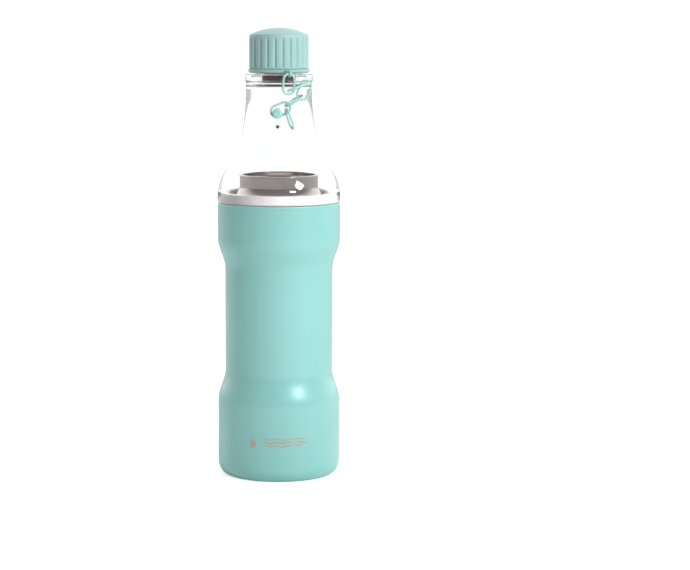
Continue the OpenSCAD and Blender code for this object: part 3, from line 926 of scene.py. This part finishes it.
@dataclass
class ClearTop:
    """Clear moulded top with its threaded ring, anchor plate, stud and rivet."""

    collar: float = 36.6
    low_z: float = 163.6
    wall: float = 2.6
    neck: float = 19.6
    relief_z: float = 231.4
    flange: float = 20.2
    flange_low: float = 235.0
    flange_z: float = 239.0
    mouth: float = 13.6
    mouth_z: float = 249.5
    ceiling_z: float = 232.6
    ceiling_round: float = 1.2
    bore: float = 10.9
    ring: float = 35.3
    ring_top: float = 169.2
    gap: float = 0.05
    stud_turn: float = -2.0
    stud: Point = (0.04, 216.96)
    stud_depth: float = 24.6
    plate_wide: float = 4.2

    def outline(self) -> Outline:
        """Outside of the top, from the collar to the narrow neck."""
        return upright_curve((self.collar, self.low_z + 0.5), (self.neck, self.relief_z), 24.5, 50)

    def moulding(self) -> bpy.types.Object:
        """The clear moulding, with the thread of its mouth.

        Returns:
            The piece.
        """
        floor, roof = self.ring_top + 0.6, self.ceiling_z - self.ceiling_round
        inner = [(r - self.wall, z) for r, z in self.outline() if floor < z < roof]
        low, high, bore = self.flange_low, self.flange_z, self.neck - self.wall
        outline = ([(self.ring + self.gap, self.low_z)]
                   + arc((self.collar - 0.5, self.low_z + 0.5), 0.5, -90, 0, 6) + self.outline()
                   + arc((self.neck + 0.6, low - 0.8), 0.6, 180, 90, 6)
                   + arc((self.flange - 0.4, low + 0.4), 0.4, -90, 0, 6)
                   + arc((self.flange - 0.6, high - 0.6), 0.6, 0, 90, 6)
                   + [(self.mouth + 0.3, high), (self.mouth, high + 0.3)]
                   + arc((self.mouth - 0.4, self.mouth_z - 0.4), 0.4, 0, 90, 6)
                   + arc((self.bore + 0.5, self.mouth_z - 0.5), 0.5, 90, 180, 6)
                   + arc((self.bore + 1, self.ceiling_z + 1), 1, 180, 270, 8)
                   + arc((bore - self.ceiling_round, roof), self.ceiling_round, 90, 0, 12) + inner[::-1]
                   + [(self.collar - self.wall - 0.2, self.ring_top + self.gap),
                      (self.ring + self.gap, self.ring_top + self.gap)])
        solid = Solid().turn(outline, 224)
        solid.ridge(self.mouth, self.mouth + 0.91, 8, high + 2.6, self.mouth_z - 2, 0)
        return solid.build("clear_moulding")

    def screw_ring(self) -> bpy.types.Object:
        """The frosted ring with the thread that grips the steel skirt.

        Returns:
            The piece.
        """
        inner, ledge, lip = 33.95, 168.3, 29.9
        outline = [(inner, self.low_z + 0.3), (self.ring - 0.3, self.low_z + 0.3),
                   (self.ring, self.low_z + 0.6), (self.ring, self.ring_top - 0.15),
                   (self.ring - 0.15, self.ring_top), (lip + 0.15, self.ring_top),
                   (lip, self.ring_top - 0.15), (lip, ledge), (inner, ledge)]
        solid = Solid().turn(outline, 160)
        solid.ridge(inner, inner - 0.71, 6, self.low_z + 1.3, ledge - 0.9, -90)
        return solid.build("frosted_ring")

    def anchor_face(self) -> float:
        """Distance of the anchor plate's face from the axis."""
        return radius_at(self.outline(), self.stud[1] - 10) + 0.8

    def plate(self) -> bpy.types.Object:
        """The clear plate on the neck, with softened corners.

        Returns:
            The piece.
        """
        low, high, half, face = self.stud[1] - 10, self.stud[1] + 3.4, self.plate_wide / 2, self.anchor_face()
        cols = [-1, -0.94, -0.8, -0.4, 0, 0.4, 0.8, 0.94, 1]
        rows = [0, 0.02, 0.06, 0.2, 0.35, 0.5, 0.65, 0.8, 0.94, 0.98, 1]
        ease_x = {1: 0.25, 0.94: 0.06}
        front, back = [], []
        for v in rows:
            z = low + (high - low) * v
            wall = radius_at(self.outline(), z) + 0.03
            ease_z = 0.25 if v in (0, 1) else (0.07 if v in (0.02, 0.98) else 0.0)
            front.append([(half * u, -(face - ease_z - ease_x.get(abs(u), 0)), z) for u in cols])
            back.append([(half * u, -math.sqrt(wall * wall - (half * u) ** 2), z) for u in cols])
        solid = Solid().patch(front).patch([row[::-1] for row in back])

        def rim(net: list[list[tuple[float, float, float]]]) -> list[tuple[float, float, float]]:
            """The points round the edge of a net, in order."""
            return net[0] + [row[-1] for row in net[1:]] + net[-1][-2::-1] + [row[0] for row in net[-2:0:-1]]

        f, b = rim(front), rim(back)
        solid.patch([b + b[:1], f + f[:1]])
        solid.move(Matrix.Rotation(math.radians(self.stud_turn), 4, "Z"))
        return solid.build("anchor_plate_clear", 40, tidy=True)

    def stud_piece(self) -> bpy.types.Object:
        """The stud with its domed head, on its stem.

        Returns:
            The piece.
        """
        head_z = self.stud_depth + 0.75 + 0.35
        stem = self.anchor_face() - head_z
        outline = ([(0, stem), (1.25, stem), (1.25, -0.15), (1.4, 0), (2.7, 0)]
                   + arc((2.7, 0.3), 0.3, -90, 0, 5) + oval_arc((0, 0.6), 3.0, 1.0, 0, 62, 14)
                   + [(1.25, 1.5), (1.15, 1.38), (1.0, 1.34), (0, 1.34)])
        solid = Solid().turn(outline, 64)
        solid.move(upright_plane(self.stud_turn, head_z, Vector(self.stud)) @ ON_ITS_SIDE)
        return solid.build("tether_stud", 40)

    def rivet(self) -> bpy.types.Object:
        """The small dark rivet at the plate's foot.

        Returns:
            The piece.
        """
        solid = Solid().turn([(0, 0), (1.0, 0)] + oval_arc((0, 0.2), 1.0, 0.4, 0, 90, 8), 48)
        spot = Vector((self.stud[0], self.stud[1] - 8.1))
        solid.move(upright_plane(self.stud_turn, self.anchor_face(), spot) @ ON_ITS_SIDE)
        return solid.build("plate_rivet", 40)

    def make(self, shop: Workshop) -> None:
        """Builds and dresses the top's pieces.

        Args:
            shop: The workshop that dresses the pieces and hands them over.
        """
        shop.hand_over(self.moulding(), "top", Slot.CLEAR, ("clear_top",))
        shop.hand_over(self.screw_ring(), "top", Slot.FROSTED, ("thread_ring",))
        shop.hand_over(self.plate(), "top", Slot.CLEAR, ("anchor_plate",))
        shop.hand_over(self.stud_piece(), "top", Slot.MINT_CHAIN, ("anchor_stud",))
        shop.hand_over(self.rivet(), "top", Slot.GETTER, ("anchor_rivet",))


@dataclass
class ScrewCap:
    """Fluted cap with its threaded insert, seal, hollow plug and plug ring."""

    low_z: float = 239.6
    radius: float = 17.6
    inside: float = 15.9
    spigot: float = 16.7
    spigot_z: float = 242.2
    bead: float = 17.15
    edge_z: float = 261.6
    edge: float = 1.4
    rise: float = 4.6
    wall: float = 1.6
    flutes: int = 24
    flute_r: float = 0.9
    flute_depth: float = 0.6
    insert: Point = (14.85, 15.85)
    plate: Point = (250.75, 252.25)

    def skirt_radius(self, r: float, z: float, turn: float) -> float:
        """Radius of the fluted skirt.

        Args:
            r: Radius of the plain outline there.
            z: Height.
            turn: Place within a bay, from -0.5 at one groove to 0.5 at the next.

        Returns:
            The radius with the band's crown and the groove taken off.
        """
        top = self.edge_z - 2.0
        low = self.spigot_z + 1.0
        if z < low - 1e-6 or r < self.radius - 1.2:
            return r
        pitch = 2 * math.pi * self.radius / self.flutes
        side = (0.5 - abs(turn)) * pitch
        fade = min(1.0, max(0.0, (top + self.flute_r - z) / 2.4)) * min(1.0, (z - low) / 0.3 + 0.35)
        over = max(0.0, z - top)
        reach = self.flute_r**2 - side * side - over * over
        groove = self.flute_depth - self.flute_r + math.sqrt(reach) if reach > 0 else 0.0
        return r - max(0.0, groove) * min(1.0, fade + 0.35) - 0.34 * fade * (2 * abs(turn)) ** 2.2

    def shell(self, shapes: RuleShapes, shop: Workshop) -> bpy.types.Object:
        """The cap's shell: one bay, set round the axis.

        Args:
            shapes: The trees for shapes that repeat or follow a path.
            shop: The workshop that dresses the pieces and hands them over.

        Returns:
            The piece.
        """
        low, high = self.spigot_z + 0.3, self.edge_z - 0.4
        rise = [(self.radius, low + (high - low) * i / 44) for i in range(1, 44)]
        outline = ([(self.inside, self.low_z), (self.bead - 0.2, self.low_z), (self.bead, self.low_z + 0.2),
                    (self.bead, self.low_z + 0.6), (self.spigot, self.low_z + 0.6),
                    (self.spigot, self.spigot_z), (self.radius - 0.3, self.spigot_z),
                    (self.radius - 0.09, self.spigot_z + 0.09), (self.radius, low)] + rise
                   + arc((self.radius - self.edge, high), self.edge, 0, 70, 12)
                   + crown(self.radius - self.edge, self.edge_z + 1, self.rise - 1)
                   + crown(self.inside, self.edge_z - 1, self.rise + 1 - self.wall)[::-1])
        columns = [-0.5 + i / 22 for i in range(23)]
        rows = []
        for r, z in outline + outline[:1]:
            row = []
            for u in columns:
                a = 2 * math.pi * u / self.flutes
                s = self.skirt_radius(r, z, u) if z > self.spigot_z and r > self.inside + 1e-6 else r
                row.append((s * math.cos(a), s * math.sin(a), z))
            rows.append(row)
        piece = Solid().patch(rows).build("fluted_cap")
        shapes.run(shapes.bays, piece, Bays=self.flutes, Weld=0.004 * MM,
                   Finish=shop.materials[Slot.MINT_CAP])
        work = bmesh.new()
        work.from_mesh(piece.data)
        bmesh.ops.dissolve_degenerate(work, dist=0.001 * MM, edges=work.edges)
        bmesh.ops.recalc_face_normals(work, faces=work.faces)
        work.to_mesh(piece.data)
        work.free()
        soften(piece.data, 50)
        return piece

    def lining(self) -> bpy.types.Object:
        """The threaded insert pressed in the cap.

        Returns:
            The piece.
        """
        root, out = self.insert
        low, high = self.plate
        outline = [(root, self.low_z + 0.4), (out, self.low_z + 0.4), (out, high), (0, high), (0, low),
                   (root, low)]
        solid = Solid().turn(outline, 128)
        return solid.ridge(root, root - 0.91, 8, self.low_z + 1.8, low - 3.4, -90).build("cap_lining")

    def plug(self) -> bpy.types.Object:
        """The hollow plug with its groove, whose dark tint is partly painted shade.

        Returns:
            The piece.
        """
        r, wall, low, ring, top = 10.2, 1.6, 235.5, 244.0, 250.7
        outline = ([(r - wall, low + 0.3), (r - wall + 0.3, low)] + arc((r - 0.6, low + 0.6), 0.6, -90, 0, 6)
                   + [(r, ring - 0.8), (r - 0.8, ring - 0.8), (r - 0.8, ring + 0.8), (r, ring + 0.8),
                      (r, top), (r - wall, top)])
        return Solid().turn(outline, 128).build("mouth_stopper", 50)

    def make(self, shapes: RuleShapes, shop: Workshop) -> None:
        """Builds and dresses the cap's pieces.

        Args:
            shapes: The trees for shapes that repeat or follow a path.
            shop: The workshop that dresses the pieces and hands them over.
        """
        shop.hand_over(self.shell(shapes, shop), "cap", Slot.MINT_CAP, ("cap_shell",))
        shop.hand_over(self.lining(), "cap", Slot.WHITE, ("cap_insert",))
        shop.hand_over(self.plug(), "cap", Slot.PLUG, ("mouth_plug",))
        shop.carry_over("cap_seal", Slot.SILICONE)
        shop.carry_over("plug_ring_seal", Slot.SILICONE)


@dataclass
class LinkPlace:
    """Where one link of the chain lies."""

    body: str
    node: str
    turn: float
    depth: float
    middle: Vector
    angle: float
    roll: float


@dataclass
class Tether:
    """Collar on the cap's spigot and the links of the chain."""

    length: float = 13.2
    width: float = 8.2
    wire: float = 1.5
    skin: float = 1.38
    play: float = 2.1
    chain_turn: float = 21.0
    stud_turn: float = -2.0
    depth: float = 24.0
    top: Point = (-2.6, 239.5)

    def places(self) -> list[LinkPlace]:
        """Works out where each link lies, from the collar's tab to the stud.

        Returns:
            The six links in order.
        """
        half = (self.length - self.wire) / 2
        hang, fold, outer, back = -94.5, 19.5, -112.5, -150.0
        top = Vector(self.top)
        fold_a = top + (2 * half - self.play) * heading(hang)
        fold_b = fold_a + 2 * half * heading(fold)
        outer_a = fold_b - self.play * heading(outer)
        back_a = outer_a + (2 * half - self.play) * heading(outer)
        back_b = back_a + 2 * half * heading(back)
        step = math.radians(self.chain_turn - self.stud_turn)
        foot = Vector((back_b.x * math.cos(step) + (self.depth + 1.2) * math.sin(step), back_b.y))
        tail = foot + Vector((0.2, -1.9))
        deep, turn = self.depth, self.chain_turn
        return [
            LinkPlace("hanger", "hanger_link", turn, deep, top + half * heading(hang), hang, 0),
            LinkPlace("fold", "fold_link", turn, deep + 0.6, fold_a + half * heading(fold), fold, 82),
            LinkPlace("outer", "outer_link", turn, deep + 1, outer_a + half * heading(outer), outer, 0),
            LinkPlace("return", "return_link", turn, deep + 1.2, back_a + half * heading(back), back, 90),
            LinkPlace("stud_loop", "stud_link", self.stud_turn, deep + 0.6, foot + Vector((-3.1, -2.1)),
                      23.5, 0),
            LinkPlace("tail", "tail_link", self.stud_turn, deep + 0.6, tail + half * heading(-71), -71, 72),
        ]

    def link(self, shapes: RuleShapes, shop: Workshop, spot: LinkPlace) -> bpy.types.Object:
        """Makes one link and lays it in its place.

        Args:
            shapes: The trees for shapes that repeat or follow a path.
            shop: The workshop that dresses the pieces and hands them over.
            spot: Which link it is and where it lies.

        Returns:
            The piece.
        """
        name = spot.node + "_loop"
        piece = bpy.data.objects.new(name, bpy.data.meshes.new(name))
        bpy.context.collection.objects.link(piece)
        shapes.run(shapes.oval, piece, Length=self.length * MM, Width=self.width * MM, Wire=self.skin * MM,
                   Finish=shop.materials[Slot.MINT_CHAIN])
        turned = (Matrix.Rotation(math.radians(-spot.angle), 4, "Y")
                  @ Matrix.Rotation(math.radians(spot.roll), 4, "X") @ ON_ITS_SIDE)
        place = upright_plane(spot.turn, spot.depth, spot.middle)
        place.translation *= MM
        piece.data.transform(place @ turned)
        soften(piece.data, 60)
        return piece

    def make(self, shapes: RuleShapes, shop: Workshop) -> None:
        """Builds and dresses the chain.

        Args:
            shapes: The trees for shapes that repeat or follow a path.
            shop: The workshop that dresses the pieces and hands them over.
        """
        shop.carry_over("tether_collar", Slot.MINT_CAP)
        for spot in self.places():
            shop.hand_over(self.link(shapes, shop, spot), spot.body, Slot.MINT_CHAIN, (spot.node,))


# ---------------------------------------------------------------- studio


@dataclass
class Studio:
    """Pale floor, soft surround, a lamp head of four round diffusers and the camera."""

    distance: float = 1.246
    height: float = 0.2741
    tilt: float = 7.36
    lens: float = 109.5
    shift: float = 0.0958
    lamp_turn: float = 43.0
    lamp_rise: float = 31.0
    lamp_distance: float = 1.3
    lamp_watts: float = 3.0
    front: float = 0.23
    rear: float = 1.3
    bright: float = 1.12
    floor_side: float = 40.0
    floor_glow: float = 0.62
    lamp_size: float = 0.13
    lamp_offset: float = 0.12

    @staticmethod
    def _only_straight(tree: bpy.types.NodeTree) -> bpy.types.Node:
        """A mask that is 1 where a surface is seen directly or through the clear plastic.

        Args:
            tree: The tree that it is added to.

        Returns:
            The node whose first output is the mask.
        """
        path, total, mask = grow(tree, "ShaderNodeLightPath", "ShaderNodeMath", "ShaderNodeMath")
        total.operation, mask.operation = "ADD", "LESS_THAN"
        mask.inputs[1].default_value = 0.5
        wire(tree, (path, "Glossy Depth", total, 0), (path, "Diffuse Depth", total, 1), (total, 0, mask, 0))
        return mask

    def surround(self) -> None:
        """A soft surround, brighter behind the bottle than before it."""
        world = bpy.data.worlds.new("soft_surround")
        bpy.context.scene.world = world
        world.use_nodes = True
        tree = world.node_tree
        light = tree.nodes["Background"]
        light.inputs["Color"].default_value = (1, 1, 1, 1)
        where, split, span, mix = grow(tree, "ShaderNodeTexCoord", "ShaderNodeSeparateXYZ",
                                       "ShaderNodeMapRange", "ShaderNodeMix")
        span.inputs["From Min"].default_value, span.inputs["From Max"].default_value = -0.25, 0.75
        span.inputs["To Min"].default_value, span.inputs["To Max"].default_value = self.front, self.rear
        span.interpolation_type = "SMOOTHSTEP"
        mix.inputs[3].default_value = self.bright
        wire(tree, (where, "Generated", split, 0), (split, "Y", span, "Value"),
             (self._only_straight(tree), 0, mix, 0), (span, "Result", mix, 2), (mix, 0, light, "Strength"))

    def floor(self) -> None:
        """A plain pale floor."""
        mesh, side = bpy.data.meshes.new("floor"), self.floor_side
        mesh.from_pydata([(-side, -side, 0), (side, -side, 0), (side, side, 0), (-side, side, 0)], [],
                         [(0, 1, 2, 3)])
        floor = bpy.data.objects.new("floor", mesh)
        bpy.context.collection.objects.link(floor)
        material = bpy.data.materials.new("pale_floor")
        material.use_nodes = True
        tree = material.node_tree
        shader = tree.nodes["Principled BSDF"]
        shader.inputs["Base Color"].default_value = (0.82, 0.82, 0.82, 1)
        shader.inputs["Roughness"].default_value = 0.7
        shader.inputs["Emission Color"].default_value = (1, 1, 1, 1)
        gain, = grow(tree, "ShaderNodeMath")
        gain.operation = "MULTIPLY"
        gain.inputs[1].default_value = self.floor_glow
        wire(tree, (self._only_straight(tree), 0, gain, 0), (gain, 0, shader, "Emission Strength"))
        mesh.materials.append(material)

    def lamps(self) -> None:
        """Four round diffusers in a cross, high on the right."""
        turn, rise = math.radians(self.lamp_turn), math.radians(self.lamp_rise)
        aim = Vector((0, 0, 0.13))
        way = Vector((math.sin(turn) * math.cos(rise), -math.cos(turn) * math.cos(rise), math.sin(rise)))
        facing = way.to_track_quat("Z", "Y")
        for number, (dx, dy) in enumerate(((1, 0), (-1, 0), (0, 1), (0, -1))):
            light = bpy.data.lights.new(f"diffuser_{number}", "AREA")
            light.shape, light.size, light.energy = "DISK", self.lamp_size, self.lamp_watts
            lamp = bpy.data.objects.new(light.name, light)
            lamp.location = aim + way * self.lamp_distance + facing @ Vector((dx, dy, 0)) * self.lamp_offset
            lamp.rotation_mode = "QUATERNION"
            lamp.rotation_quaternion = facing
            bpy.context.collection.objects.link(lamp)

    def camera(self) -> None:
        """The camera, a little above the joint and looking slightly down."""
        data = bpy.data.cameras.new("camera")
        data.lens, data.sensor_width, data.shift_x = self.lens, 36.0, self.shift
        camera = bpy.data.objects.new("camera", data)
        camera.location = (0, -self.distance, self.height)
        camera.rotation_euler = (math.radians(90 - self.tilt), 0, 0)
        bpy.context.collection.objects.link(camera)
        bpy.context.scene.camera = camera

    def make(self) -> None:
        """Sets up the studio."""
        self.camera()
        self.surround()
        self.floor()
        self.lamps()
        scene = bpy.context.scene
        scene.view_settings.view_transform = "Standard"
        scene.cycles.transmission_bounces = 20
        scene.cycles.glossy_bounces = 8
        scene.cycles.max_bounces = 24


def main() -> None:
    """Builds the bottle and its studio, in order."""
    logging.basicConfig(level=logging.INFO, format="%(name)s: %(message)s")
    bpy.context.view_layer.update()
    Studio().make()
    shop, shapes = Workshop(), RuleShapes()
    PaintedBody().make(shop)
    SteelLiner().make(shop)
    ClearTop().make(shop)
    ScrewCap().make(shapes, shop)
    Tether().make(shapes, shop)


if __name__ == "__main__":
    main()
